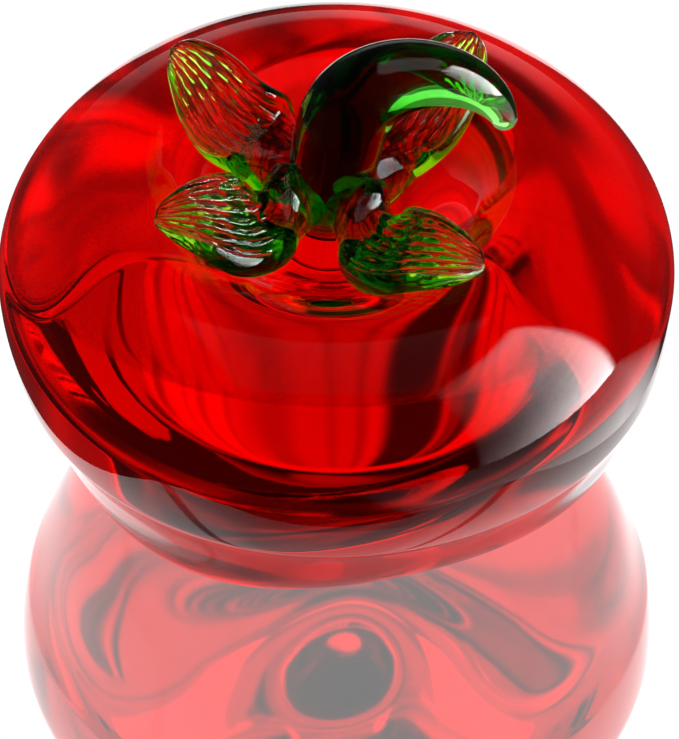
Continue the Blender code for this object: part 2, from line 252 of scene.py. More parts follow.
def stalk_path():
    """Points (out, up), leans from upright and radii: an upright foot, a wide arc, a tight one, and a
    round tip. The radius goes from foot to waist to shank and tapers over the hook."""
    rise = np.linspace(BOSS_HEIGHT - SUNK, FLARE_HEIGHT, FOOT_RINGS, endpoint=False)
    leans = np.linspace(0, SHANK_LEAN, SHANK_STEPS, endpoint=False)
    hooked = np.linspace(0, 1, HOOK_STEPS)
    turns = SHANK_LEAN + HOOK_SWEEP * hooked
    foot = np.stack([0 * rise, rise], axis=-1)
    shank = arc((0, FLARE_HEIGHT), SHANK_LENGTH / SHANK_LEAN, np.append(leans, SHANK_LEAN))
    hook = arc(shank[-1], HOOK_RADIUS, turns)
    round_off = np.linspace(0, math.pi / 2, TIP_STEPS)[1:-1]
    ahead = TIP_RADIUS * np.sin(round_off)[:, None]
    tip = hook[-1] + ahead * [math.sin(turns[-1]), math.cos(turns[-1])]
    along = np.concatenate([rise, FLARE_HEIGHT + SHANK_LENGTH * leans / SHANK_LEAN])
    swell = (SHANK_RADIUS - WAIST_RADIUS) * smooth_step(along / (FLARE_HEIGHT + SHANK_LENGTH))
    tapered = TIP_RADIUS + (SHANK_RADIUS - TIP_RADIUS) * (1 - hooked**TAPER_POWER)
    radius = np.concatenate([foot_radius(along) + swell, tapered, TIP_RADIUS * np.cos(round_off)])
    path = np.concatenate([foot, shank[:-1], hook, tip])
    lean = np.concatenate([0 * rise, leans, turns, turns[-1] + 0 * round_off])
    return path, lean, radius


def tube(path, lean, radius):
    """Rings round a path in an upright plane: centre + radius (cos t across + sin t sideways)."""
    turn = np.linspace(0, 2 * math.pi, STALK_AROUND, endpoint=False)[None, :]
    side = radius[:, None] * np.cos(turn)
    x = STALK_PLACE[0] + path[:, :1] + side * np.cos(lean)[:, None]
    y = STALK_PLACE[1] + radius[:, None] * np.sin(turn)
    z = SEAT_HEIGHT + path[:, 1:] - side * np.sin(lean)[:, None]
    return np.stack([x, y + 0 * x, z], axis=-1)


path, lean, radius = stalk_path()
tip = path[-1] + TIP_RADIUS * TIP_POINT_SHARE * np.array([math.sin(lean[-1]), math.cos(lean[-1])])
stalk = closed_surface(
    "green_stalk",
    tube(path, lean, radius),
    (*STALK_PLACE, SEAT_HEIGHT + BOSS_HEIGHT - SUNK),
    (STALK_PLACE[0] + tip[0], STALK_PLACE[1], SEAT_HEIGHT + tip[1]),
)
stalk.data.set_sharp_from_angle(angle=SHARP_ANGLE)
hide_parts("stalk")
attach(stalk, "root")

# %% [markdown]
# ## The sepals
#
# Each sepal is a small gather of green glass, pressed against a ribbed tool while soft and stuck on beside
# the stalk, so it has a tall smooth neck and a thin ribbed blade with a round rim. It is a cross section
# carried along a curved middle line: the section's width, thickness and ribs change along the way. A
# measure that ends in SHARE or START is a share of the sepal's length or of its half width.

# %% The sepals' measures
NECK_HALF_WIDTH = 3.5 * MM
NECK_LENGTH_SHARE = 0.6
NECK_RISE = 5.4 * MM
NECK_DROP = 4.6 * MM
NECK_SHARE = 0.22
NECK_FADE_SHARE = 0.3
BLADE_HALF_THICKNESS = 1.1 * MM
TIP_THINNING = 0.35
THINNING_START = 0.8
ROOT_ROUNDNESS = 0.36
TIP_ROUNDNESS = 0.67
EDGE_SQUARENESS = 1.2
TIP_BEAD = 1.7 * MM
BEAD_START = 0.8
BEAD_GROWTH_SHARE = 0.1
BEAD_SHARE = 0.045
RIM_RISE = 0.9 * MM
RIM_SLOPE_SHARE = 0.1
RIB_COUNT = 7
RIB_RISE = 0.42 * MM
RIB_SHARPNESS = 2.5
RIBBED_SHARE = 0.8
RIBS_START = 0.33
RIBS_RISE_SHARE = 0.15
RIBS_FADE_START = 0.84
SLIM_START = 0.4
SLIM_LENGTH_SHARE = 0.5
FULL_RISE_SHARE = 0.15
FULL_FADE_SHARE = 0.45
ROOT_INSET = 0.5 * MM
WRAP_SHARE = 0.2
ROOT_LIFT = 7.2 * MM
SINK = 0.15 * MM
LAST_SHARE = 0.997
SECTION_CROWDING = 1.15
UPPER_POINTS = 168
LOWER_POINTS = 56
SEPAL_SECTIONS = 150
SMALL_STEP = 0.01

# waves over a sepal: height, turns along it, turns across it, and how often the sepal's seed is added
RIB_WAVER = ((0.35, 14, 5, 1), (0.25, 31, -7, 2))
RIB_UNEVEN = ((0.35, 29, 9, 3), (0.35, 67, -17, 0))

# azimuths of root and tip, reach, half width, bulge and sweep of the side nearer the viewer, how much
# slimmer that side is at the tip, middle lift, tip lift, roll, how much fuller the far side is by the stalk
SEPALS = {
    "sepal_front_left": (190, 206, 22.0, 6.7, 3.5, 0.45, 0.3, 6.1, 3.4, 22, 0.0),
    "sepal_front_right": (327, 317, 24.0, 6.2, 4.2, 0.35, 0.1, 5.2, 2.6, 17, 0.0),
    "sepal_back_right": (16, 44, 23.2, 5.6, 1.4, 0.1, 0.0, 9.2, 7.2, 4, 0.3),
    "sepal_back_left": (158, 142, 23.0, 5.3, 1.6, 0.0, 0.1, 9.3, 6.6, 34, 0.9),
}

# %% [markdown]
# The share of the length at each section, and the share of the half width at each point of a section. The
# sections crowd together at the tip and the points at the edges, where the surface turns most.

# %% Where the points of a sepal lie
SEPAL_SHARE = (1 - (1 - np.linspace(0, 1, SEPAL_SECTIONS)) ** SECTION_CROWDING) * LAST_SHARE
SEPAL_ACROSS = np.concatenate(
    [
        -np.cos(math.pi * np.arange(UPPER_POINTS) / UPPER_POINTS),
        np.cos(math.pi * np.arange(LOWER_POINTS) / LOWER_POINTS),
    ]
)
print(f"a sepal: {len(SEPAL_SHARE)} sections of {len(SEPAL_ACROSS)} points")


# %% A sepal's cross sections
def blade_width(share, half_width):
    """Half width: the neck's, the blade's and the tip bead's as fourth powers added, so that one fades
    into the next. The blade is along^a (1 - along)^b, broad at its root and pointed at its tip."""
    neck = NECK_HALF_WIDTH * (1 - smooth_step((share - NECK_SHARE) / NECK_SHARE))
    along = np.clip((share - NECK_SHARE) / (1 - NECK_SHARE), 0, 1)
    widest = ROOT_ROUNDNESS / (ROOT_ROUNDNESS + TIP_ROUNDNESS)
    full = widest**ROOT_ROUNDNESS * (1 - widest) ** TIP_ROUNDNESS
    blade = half_width * along**ROOT_ROUNDNESS * (1 - along) ** TIP_ROUNDNESS / full
    growing = smooth_step((share - BEAD_START) / BEAD_GROWTH_SHARE)
    round_end = np.clip(1 - ((share - 1 + BEAD_SHARE) / BEAD_SHARE) ** 2, 0, 1) ** 0.5
    bead = TIP_BEAD * np.where(share < 1 - BEAD_SHARE, growing, round_end)
    return (neck**4 + blade**4 + bead**4) ** 0.25


def blade_thickness(share, neck_height):
    """Half thickness: the neck's height at the stalk, thinning to the blade's and again to the tip."""
    neck = (neck_height - BLADE_HALF_THICKNESS) * (1 - smooth_step(share / NECK_LENGTH_SHARE))
    thinning = 1 - TIP_THINNING * smooth_step((share - THINNING_START) / (1 - THINNING_START))
    return (BLADE_HALF_THICKNESS + neck) * thinning


def ripple(share, across, seed, waves):
    """The sum of height sin(turns along x share + turns across x across + times x seed) over the waves."""
    return sum(
        height * np.sin(turns_along * share + turns_across * across + times * seed)
        for height, turns_along, turns_across, times in waves
    )


def sepal_sections(share, half_width, seed):
    """Across and up, in metres, of each section (rows of share). Up is (1 - |across|^power)^(1/power) times
    the thickness, plus on the upper side ribs, ((1 + cos) / 2)^sharpness, that waver, and a rim."""
    across = SEPAL_ACROSS[None, :]
    top = np.arange(UPPER_POINTS + LOWER_POINTS)[None, :] < UPPER_POINTS
    pressed = smooth_step((share - RIBS_START) / RIBS_RISE_SHARE)
    pressed = pressed * (1 - smooth_step((share - RIBS_FADE_START) / (1 - RIBS_FADE_START)))
    power = 2 + EDGE_SQUARENESS * pressed
    round_part = np.clip(1 - np.abs(across) ** power, 0, 1) ** (1 / power)
    phase = math.pi * RIB_COUNT * across / RIBBED_SHARE + ripple(share, across, seed, RIB_WAVER)
    ridge = ((1 + np.cos(phase)) / 2) ** RIB_SHARPNESS * (1 + ripple(share, across, seed, RIB_UNEVEN))
    inside = smooth_step((RIBBED_SHARE - np.abs(across)) / RIM_SLOPE_SHARE)
    relief = RIB_RISE * ridge * inside + RIM_RISE * (1 - inside) * round_part
    rise = round_part * blade_thickness(share, NECK_RISE) + relief * pressed
    drop = -round_part * blade_thickness(share, NECK_DROP)
    return across * blade_width(share, half_width), np.where(top, rise, drop)


# %% A sepal's middle line
def fruit_height(x, y):
    """Height of the fruit's shoulder over or under a point."""
    outside = np.hypot(x - STALK_PLACE[0], y - STALK_PLACE[1]) - SEAT_RADIUS
    drift = 1 - smooth_step(outside / (BODY_RADIUS - SEAT_RADIUS))
    radius = np.hypot(x - STALK_PLACE[0] * drift, y - STALK_PLACE[1] * drift)
    return EQUATOR_HEIGHT + shoulder_height(np.minimum(radius / BODY_RADIUS, 1))


def sepal_line(share, root, azimuth, reach, bulge, middle_lift, tip_lift):
    """The middle line: from the root to the tip, bulging sideways, at a height over the fruit that is a
    parabola through the lifts of root, middle and tip."""
    first, last = (np.array([math.cos(turn), math.sin(turn)]) for turn in (root, azimuth))
    sideways = np.array([-last[1], last[0]])
    plan = STALK_PLACE + first * (WAIST_RADIUS - ROOT_INSET) * (1 - share) + last * reach * share
    lift = ROOT_LIFT * (1 - share) * (1 - 2 * share) + middle_lift * 4 * share * (1 - share)
    lift = lift + tip_lift * share * (2 * share - 1)
    ground = fruit_height(plan[:, :1], plan[:, 1:])
    plan = plan + sideways * bulge * 4 * share * (1 - share)
    return np.concatenate([plan, ground + lift], axis=1)


def unit(rows):
    """Each row divided by its length."""
    return rows / np.linalg.norm(rows, axis=-1, keepdims=True)


# %% A sepal's whole surface
def sepal_surface(name):
    """Rings of a sepal: its sections set square to its middle line, rolled about it, swept forward on one
    side, and wrapped round the stalk at the root. No point sinks into the fruit past the joint's depth."""
    root, azimuth, reach, half_width, bulge, sweep, slim, middle_lift, tip_lift, roll, full = SEPALS[name]
    root, azimuth = math.radians(root), math.radians(azimuth)
    near_side = 1 if math.cos(azimuth) < 0 else -1
    share = SEPAL_SHARE[:, None]
    line = (root, azimuth, reach * MM, bulge * MM * near_side, middle_lift * MM, tip_lift * MM)
    middle = sepal_line(share, *line)
    along = unit(sepal_line(share + SMALL_STEP, *line) - middle)
    blade = smooth_step((share - NECK_SHARE) / NECK_FADE_SHARE)
    turned = root + (azimuth - root) * smooth_step(share / NECK_FADE_SHARE)
    flat = np.concatenate([-np.sin(turned), np.cos(turned), 0 * turned], axis=1)
    flat = unit(flat - along * (along * flat).sum(1, keepdims=True))
    turn = -near_side * math.radians(roll) * blade
    across = flat * np.cos(turn) + np.cross(along, flat) * np.sin(turn)
    up = np.cross(along, across)
    side, rise = sepal_sections(share, half_width * MM, seed=azimuth)
    slimmer = slim * smooth_step((share - SLIM_START) / SLIM_LENGTH_SHARE)
    side = side * (1 - slimmer * (side * near_side > 0))
    by_stalk = smooth_step(share / FULL_RISE_SHARE)
    by_stalk = by_stalk * (1 - smooth_step((share - FULL_RISE_SHARE) / FULL_FADE_SHARE))
    side = side * (1 + full * by_stalk * (side * near_side < 0))
    swept = sweep * blade * np.maximum(side * near_side, 0)
    chord = WAIST_RADIUS - np.sqrt(np.maximum(WAIST_RADIUS**2 - side**2, 0))
    swept = swept - chord * (1 - smooth_step(share / WRAP_SHARE))
    points = middle[:, None] + across[:, None] * side[..., None] + up[:, None] * rise[..., None]
    points = points + along[:, None] * swept[..., None]
    points[..., 2] = np.maximum(points[..., 2], fruit_height(points[..., 0], points[..., 1]) - SINK)
    return points


# %% [markdown]
# Each point keeps its shares of length and half width as attributes, which the glass's cords and their
# painted glints follow later.

# %% Make the sepals
sepals = {}
for name in SEPALS:
    rings = sepal_surface(name)[:, ::-1]
    piece_name = name.replace("sepal", "ribbed_sepal")
    piece = closed_surface(piece_name, rings, rings[0].mean(0), rings[-1].mean(0))
    across = np.broadcast_to(SEPAL_ACROSS[::-1], rings.shape[:2])
    along = np.broadcast_to(SEPAL_SHARE[:, None], rings.shape[:2])
    for label, values in (("along", along), ("across", across)):
        layer = piece.data.attributes.new(label, "FLOAT", "POINT")
        layer.data.foreach_set("value", np.append(values.ravel(), [values[0, 0], values[-1, 0]]))
    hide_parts(name)
    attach(piece, "root")
    sepals[name] = piece

# %% [markdown]
# ## Glass
#
# Coloured glass is clear: its colour comes from what it absorbs. The Principled BSDF gets full
# transmission, a tint for thin glass, and a volume that absorbs more where the glass is thicker. What the
# hand left in the glass comes from three node groups: the skin's waver and fine polishing streaks, the
# streaks that fan out from the stalk, and the cords that were drawn out along each sepal, whose greener
# tint is partly painted light: it stands in for the green glints and dark lines that light makes in the
# ribs.


# %% Helpers for node trees
def node(tree, kind, inputs, **settings):
    """A node with these settings. Each input is a value, or a socket that is linked to it."""
    made = tree.nodes.new(kind)
    for key, value in settings.items():
        setattr(made, key, value)
    for key, value in inputs.items():
        if isinstance(value, bpy.types.NodeSocket):
            tree.links.new(value, made.inputs[key])
        else:
            made.inputs[key].default_value = value
    return made


def maths(tree, operation, first, second):
    """The output of one sum, product or other step on two values."""
    return node(tree, "ShaderNodeMath", {0: first, 1: second}, operation=operation).outputs[0]


def vector_maths(tree, operation, *vectors):
    """The vector that comes from one step on one or two vectors."""
    return node(tree, "ShaderNodeVectorMath", dict(enumerate(vectors)), operation=operation).outputs[0]


def map_range(tree, value, start, end, low=0, high=1):
    """Goes from low to high in a straight line as the value goes from start to end."""
    ends = {"Value": value, "From Min": start, "From Max": end, "To Min": low, "To Max": high}
    return node(tree, "ShaderNodeMapRange", ends).outputs["Result"]


def blend(tree, share, first, second):
    """The first value where the share is 0, the second where it is 1, and a mix between."""
    return node(tree, "ShaderNodeMix", {0: share, 2: first, 3: second}).outputs[0]


def noise(tree, place, **inputs):
    """The value of a noise texture at a place."""
    return node(tree, "ShaderNodeTexNoise", {"Vector": place, **inputs}).outputs[0]


def node_group(name, inputs, output):
    """An empty node group, its inputs by name, and the input of its one output."""
    tree = bpy.data.node_groups.new(name, "ShaderNodeTree")
    for label, kind in inputs.items():
        tree.interface.new_socket(label, in_out="INPUT", socket_type=f"NodeSocket{kind}")
    tree.interface.new_socket(output[0], in_out="OUTPUT", socket_type=f"NodeSocket{output[1]}")
    return tree, tree.nodes.new("NodeGroupInput").outputs, tree.nodes.new("NodeGroupOutput").inputs[0]


def add_group(tree, group, inputs):
    """The output of a copy of a node group in this tree."""
    return node(tree, "ShaderNodeGroup", inputs, node_tree=group).outputs[0]


# %% [markdown]
# Glass that was shaped hot and then wiped has no true plane in it: it wavers slowly, by hundredths of a
# millimetre, and fine streaks lie across it. Both are heights in metres, turned into a bent normal.

# %% The hand-worked skin
SLOW_SCALE = 70
STREAK_STRETCH = (90, 420, 900)

skin, given, result = node_group(
    "hand_worked_skin",
    {"Place": "Vector", "Waver": "Float", "Streaks": "Float"},
    ("Normal", "Vector"),
)
slow = noise(skin, given["Place"], Scale=SLOW_SCALE, Detail=0)
drawn = vector_maths(skin, "MULTIPLY", given["Place"], STREAK_STRETCH)
fine = noise(skin, drawn, Scale=1, Detail=1)
waver = maths(skin, "MULTIPLY", slow, given["Waver"])
streaks = maths(skin, "MULTIPLY", fine, given["Streaks"])
height = maths(skin, "ADD", waver, streaks)
bump = node(skin, "ShaderNodeBump", {"Height": height, "Distance": 1})
skin.links.new(bump.outputs[0], result)

# %% [markdown]
# Glass that is drawn up towards the stalk carries its uneven colour with it, in streaks that fan out from
# the middle. The noise reads only the direction away from the axis, so it stays the same along a streak.

# %% Streaks that fan out from the stalk
FAN_SCALE = 5
FAN_ROUGHNESS = 0.7
FAN_FROM = 0.45
FAN_TO = 0.65

fan, given, result = node_group("fan_streaks", {"Place": "Vector"}, ("Streaks", "Float"))
level = vector_maths(fan, "MULTIPLY", given["Place"], (1, 1, 0))
outward = vector_maths(fan, "NORMALIZE", level)
uneven = noise(fan, outward, Scale=FAN_SCALE, Detail=2, Roughness=FAN_ROUGHNESS)
fan.links.new(map_range(fan, uneven, FAN_FROM, FAN_TO), result)

# %% [markdown]
# A sepal's glass was drawn out lengthwise, and streaks of darker green were drawn out with it. Their tint is
# also painted light: it stands in for the green glints and dark lines that light makes in the ribs. The
# noise is read at the sepal's own shares of length and half width, so the cords run along the blade.

# %% Cords drawn out along a sepal, with painted glints
CORD_GLINTS_ACROSS = 14
CORD_GLINTS_ALONG = 5
CORD_GLINTS_DISTORTION = 0.4
CORD_GLINTS_FROM = 0.5
CORD_GLINTS_TO = 0.57

cords_and_glints, given, result = node_group(
    "sepal_cords_and_glints", {"Along": "Float", "Across": "Float"}, ("Cords and glints", "Float")
)
along = maths(cords_and_glints, "MULTIPLY", given["Along"], CORD_GLINTS_ALONG)
across = maths(cords_and_glints, "MULTIPLY", given["Across"], CORD_GLINTS_ACROSS)
place = node(cords_and_glints, "ShaderNodeCombineXYZ", {0: along, 1: across}).outputs[0]
uneven = noise(cords_and_glints, place, Scale=1, Detail=3, Distortion=CORD_GLINTS_DISTORTION)
cords_and_glints.links.new(map_range(cords_and_glints, uneven, CORD_GLINTS_FROM, CORD_GLINTS_TO), result)
print("node groups:", [group.name for group in bpy.data.node_groups])

# %% [markdown]
# The three glasses differ in the colour they let through, in how strongly they absorb, and in how much
# their faces mirror straight on. The ruby's base is polished and its shoulder fire-polished, but the wall
# between them was blocked and is a little worn, so its roughness is masked by height.

# %% The glasses' measures
GLASS_IOR = 1.52
WORN_WALL = 0.09
WORN_UP_TO = 21 * MM
CLEAR_FROM = 23.5 * MM

# the volume's colour and density, the mirror image's share, and the skin's waver and streaks in metres
RUBY = {"passed": (0.96, 0.02, 0.0), "density": 24, "shine": 0.02, "waver": 0.00001, "streaks": 0.000001}
STALK = {"passed": (0.26, 0.82, 0.1), "density": 460, "shine": 0.17, "waver": 0.00006, "streaks": 0.000006}
SEPAL = {"passed": (0.68, 0.88, 0.03), "density": 400, "shine": 0.1, "waver": 0.00003, "streaks": 0.000006}

# what the surface lets through, away from its streaks and in them
RUBY_TINTS = ((1.0, 0.0, 0.0), (0.85, 0.0, 0.0))
STALK_TINTS = ((0.85, 1.0, 0.8), (0.6, 0.8, 0.5))
# the sepal's streaked tint is partly painted light: greener cords that also stand in for the ribs' green
# glints and dark lines
SEPAL_TINTS = ((1.0, 0.92, 0.35), (0.2, 0.9, 0.1))


# %% Glass materials
def glass(name, passed, density, shine, waver, streaks):
    """Clear glass: the volume absorbs by path length, and shine scales the mirror image of a surface seen
    straight on. Gives the material, its node tree and the place on the object."""
    material = bpy.data.materials.new(name)
    material.use_nodes = True
    tree = material.node_tree
    shader = tree.nodes["Principled BSDF"]
    shader.inputs["Roughness"].default_value = 0
    shader.inputs["IOR"].default_value = GLASS_IOR
    shader.inputs["Specular Tint"].default_value = (shine, shine, shine, 1)
    shader.inputs["Transmission Weight"].default_value = 1
    volume = node(tree, "ShaderNodeVolumeAbsorption", {"Color": (*passed, 1), "Density": density})
    tree.links.new(volume.outputs[0], tree.nodes["Material Output"].inputs["Volume"])
    place = node(tree, "ShaderNodeTexCoord", {}).outputs["Object"]
    normal = add_group(tree, skin, {"Place": place, "Waver": waver, "Streaks": streaks})
    tree.links.new(normal, shader.inputs["Normal"])
    return material, tree, place


def tint(tree, mask, tints):
    """Sets the colour that the surface lets through: the first tint where the mask is 0, the second at 1."""
    clear, streaked = ((*colour, 1) for colour in tints)
    mix = node(tree, "ShaderNodeMix", {0: mask}, data_type="RGBA")
    mix.inputs[6].default_value, mix.inputs[7].default_value = clear, streaked
    tree.links.new(mix.outputs[2], tree.nodes["Principled BSDF"].inputs["Base Color"])


ruby, tree, place = glass("ruby_glass", **RUBY)
tint(tree, add_group(tree, fan, {"Place": place}), RUBY_TINTS)
height = node(tree, "ShaderNodeSeparateXYZ", {0: place}).outputs["Z"]
worn = map_range(tree, height, WORN_UP_TO, CLEAR_FROM, WORN_WALL, 0)
above_base = maths(tree, "GREATER_THAN", height, BASE_ROUNDING)
roughness = maths(tree, "MULTIPLY", worn, above_base)
tree.links.new(roughness, tree.nodes["Principled BSDF"].inputs["Roughness"])
fruit.data.materials.append(ruby)

stalk_green, tree, place = glass("stalk_glass", **STALK)
tint(tree, add_group(tree, fan, {"Place": place}), STALK_TINTS)
stalk.data.materials.append(stalk_green)

sepal_green, tree, place = glass("sepal_glass", **SEPAL)
shares = {
    label: node(tree, "ShaderNodeAttribute", {}, attribute_name=label.lower()).outputs["Fac"]
    for label in ("Along", "Across")
}
# the cords' greener tint also paints in the green glints and dark lines that light makes in the ribs
tint(tree, add_group(tree, cords_and_glints, shares), SEPAL_TINTS)
for piece in sepals.values():
    piece.data.materials.append(sepal_green)
print("materials:", [material.name for material in bpy.data.materials])

# %% [markdown]
# ## The board
#
# Glass shows what is round it, so the studio is part of its look. The object stands on a glossy white
# board, which gives it a mirror image. The board gives off plain white light and mirrors the rest. It is
# dark under the fruit's base, where no light of the room reaches it, and for rays that have been through
# glass, so that it doesn't fill the dark places inside the fruit.

# %% Helpers for the studio
ONCE = 0.5  # limits for a ray's counts, half-way between whole numbers
TWICE = 1.5


def emitter(name):
    """A material that gives off white light, its node tree and its emission."""
    material = bpy.data.materials.new(name)
    material.use_nodes = True
    tree = material.node_tree
    tree.nodes.remove(tree.nodes["Principled BSDF"])
    light = node(tree, "ShaderNodeEmission", {"Color": (1, 1, 1, 1)})
    tree.links.new(light.outputs[0], tree.nodes["Material Output"].inputs["Surface"])
    return material, tree, light


def staged_rectangle(name, left, right, front, back, height, material):
    """A level rectangle that belongs to the studio and not to the object."""
    corners = [(left, front), (right, front), (right, back), (left, back)]
    mesh = bpy.data.meshes.new(name)
    mesh.from_pydata([(*corner, height) for corner in corners], [], [(0, 1, 2, 3)])
    mesh.materials.append(material)
    made = bpy.data.objects.new(name, mesh)
    bpy.context.scene.collection.objects.link(made)
    print(f"{name}: {[(x / MM, y / MM) for x, y in corners]} mm, at {height / MM} mm")


# %% The board
BOARD_LEFT = -47 * MM
BOARD_RIGHT = 50 * MM
BOARD_FRONT = -61 * MM
BOARD_BACK = 140 * MM
BOARD_DROP = 0.15 * MM
BOARD_WHITE_SHARE = 0.21
BOARD_ROUGHNESS = 0.02
SHADOW_INNER = 18 * MM
SHADOW_OUTER = 22 * MM

board_paint, tree, light = emitter("glossy_board")
place = node(tree, "ShaderNodeNewGeometry", {}).outputs["Position"]
away = node(tree, "ShaderNodeVectorMath", {0: place}, operation="LENGTH").outputs["Value"]
rays = node(tree, "ShaderNodeLightPath", {})
outside = maths(tree, "LESS_THAN", rays.outputs["Transmission Depth"], ONCE)
lit = maths(tree, "MULTIPLY", outside, map_range(tree, away, SHADOW_INNER, SHADOW_OUTER))
tree.links.new(lit, light.inputs["Strength"])
gloss = node(tree, "ShaderNodeBsdfGlossy", {"Color": (1, 1, 1, 1), "Roughness": BOARD_ROUGHNESS})
mix = node(
    tree,
    "ShaderNodeMixShader",
    {0: BOARD_WHITE_SHARE, 1: gloss.outputs[0], 2: light.outputs[0]},
)
tree.links.new(mix.outputs[0], tree.nodes["Material Output"].inputs["Surface"])
staged_rectangle(
    "board", BOARD_LEFT, BOARD_RIGHT, BOARD_FRONT, BOARD_BACK, -BOARD_DROP, board_paint
)

# %% [markdown]
# ## The table
#
# A pale table lies below the board and runs out of the picture, so the camera sees plain white there. Its
# light on the glass depends on where it comes from. For the inside of the fruit its sides are bright and
# its near part is dark, in the viewer's shadow. On the skin only a patch on the right shows, up to a little
# way behind the fruit, as the grey sheen low on that side.

# %% The table round the board
TABLE_REACH = 900 * MM
TABLE_DROP = 60 * MM
TABLE_SIDE_LIGHT = 1.7
TABLE_FRONT_LIGHT = 0.05
TABLE_LIT_EDGE = -80 * MM
TABLE_DARK_EDGE = -95 * MM
TABLE_SHINE = 0.03
TABLE_GLINT = 2.6
GLINT_START = 40 * MM
GLINT_FULL = 80 * MM
GLINT_FADE_START = 20 * MM
GLINT_FADE_END = 60 * MM

table_paint, tree, light = emitter("pale_table")
place = node(tree, "ShaderNodeNewGeometry", {}).outputs["Position"]
split = node(tree, "ShaderNodeSeparateXYZ", {0: place}).outputs
within = map_range(
    tree, split["Y"], TABLE_DARK_EDGE, TABLE_LIT_EDGE, TABLE_FRONT_LIGHT, TABLE_SIDE_LIGHT
)
fading = map_range(
    tree, split["Y"], GLINT_FADE_START, GLINT_FADE_END, TABLE_GLINT, TABLE_SHINE
)
glint = map_range(tree, split["X"], GLINT_START, GLINT_FULL, TABLE_SHINE, fading)
rays = node(tree, "ShaderNodeLightPath", {})
inner = maths(tree, "GREATER_THAN", rays.outputs["Transmission Depth"], ONCE)
seen = blend(tree, rays.outputs["Is Camera Ray"], blend(tree, inner, glint, within), 1)
tree.links.new(seen, light.inputs["Strength"])
staged_rectangle(
    "table", -TABLE_REACH, TABLE_REACH, -TABLE_REACH, TABLE_REACH, -TABLE_DROP, table_paint
)

# %% [markdown]
# ## The cloth dome
#
# Small glass is often set up in a tent of pale cloth, so that no sharp lamp shows in it. A dome of cloth
# with dark gaps gives this object its light: its brightness changes from point to point, as an attribute,
# and the camera sees white past it. Azimuth 0 is where the viewer stands and 90 is on the right.
#
# The real room isn't known, and one dome that is right for the light inside the glass would be wrong for
# its skin. So the dome holds three brightnesses: for rays that come through the glass, for rays that its
# skin mirrors, and for those that its belly mirrors by way of the board.

# %% The room past the dome
world = bpy.data.worlds.new("room")
bpy.context.scene.world = world
world.use_nodes = True
world.node_tree.nodes["Background"].inputs["Color"].default_value = (1, 1, 1, 1)


# %% Shapes on the dome
def spot(azimuth, elevation, place, radius, softness):
    """1 inside a round spot of this angular radius in degrees, 0 outside, with a soft edge."""
    az0, el0 = (math.radians(value) for value in place)
    az, el = np.radians(azimuth), np.radians(elevation)
    cosine = np.sin(el) * math.sin(el0) + np.cos(el) * math.cos(el0) * np.cos(az - az0)
    away = np.degrees(np.arccos(np.clip(cosine, -1, 1)))
    return 1 - smooth_step((away - radius + softness) / (2 * softness))


def panel(azimuth, elevation, azimuths, elevations, softness):
    """1 between two azimuths and two elevations in degrees, 0 outside, with soft edges."""
    inside = smooth_step((azimuth - azimuths[0]) / softness + 0.5)
    inside = inside * smooth_step((azimuths[1] - azimuth) / softness + 0.5)
    inside = inside * smooth_step((elevation - elevations[0]) / softness + 0.5)
    return inside * smooth_step((elevations[1] - elevation) / softness + 0.5)


def dimmed(az, el, panels):
    """The light that a row of dim panels leaves: each takes its depth off what it covers."""
    left = 1
    for azimuths, elevations, softness, depth in panels:
        left = left * (1 - depth * panel(az, el, azimuths, elevations, softness))
    return left


# %% [markdown]
# Each panel has azimuths, elevations, softness and depth. The curtain's rows are folds of cloth behind the
# object, without elevations, because all folds hang between the same two. A fold of negative depth is lit.

# %% Light that comes through the glass
FRONT_PANELS = (
    ((-50, 50), (-20, 24), 16, 0.8),
    ((-32, 17), (26, 54), 8, 0.95),
    ((-85, 13), (32, 52), 10, 0.55),
    ((-75, 40), (52, 86), 8, 0.97),
)
BACK_PANELS = (((144, 218), (-16, 24), 8, 0.5),)
SIDE_PANELS = (((30, 140), (-20, 18), 10, 0.7),)
CURTAIN_ELEVATIONS = (45, 68)
CURTAIN = (
    ((120, 132), 8, 0.7),
    ((162, 187), 8, 0.34),
    ((167, 173), 4, 0.3),
    ((187, 208), 3, 0.75),
    ((188, 197.5), 2.5, 0.8),
    ((198, 199.5), 1.5, -1.3),
    ((203, 206), 1.5, 0.6),
    ((183, 184.5), 1.5, 0.35),
    ((178.5, 180), 1.5, 0.25),
    ((160, 161.5), 1.5, 0.3),
    ((152, 154.5), 1.5, 0.35),
    ((146, 147.5), 1.5, 0.3),
    ((212, 214), 2, 0.5),
    ((219, 222), 2, 0.4),
)
OVERHEAD_START = 50
OVERHEAD_FADE = 10
OVERHEAD_GAIN = 0.2
ZENITH_START = 83
ZENITH_FADE = 5
ZENITH_DIM = 0.6
LIT_PLACES = (((-2.5, 30.5), 4), ((-2, 8), 4))
LIT_GLOW = 0.6
LIT_SOFTNESS = 1.5


def inner_glow(az, el):
    """What light inside the glass comes from: pale cloth overhead and behind, dark where the viewer stands,
    dim round the horizon, and dim folds of cloth behind, which the flat base mirrors as a fan of streaks."""
    behind = np.mod(az, 360)
    folds = [(azimuths, CURTAIN_ELEVATIONS, softness, depth) for azimuths, softness, depth in CURTAIN]
    glow = 1 + OVERHEAD_GAIN * smooth_step((el - OVERHEAD_START) / OVERHEAD_FADE)
    glow = glow * (1 - ZENITH_DIM * smooth_step((el - ZENITH_START) / ZENITH_FADE))
    glow = glow * dimmed(az, el, FRONT_PANELS) * dimmed(np.abs(az), el, SIDE_PANELS)
    glow = glow * dimmed(behind, el, BACK_PANELS) * dimmed(behind, el, folds)
    for place, radius in LIT_PLACES:
        glow = np.maximum(glow, LIT_GLOW * spot(az, el, place, radius, LIT_SOFTNESS))
    return glow


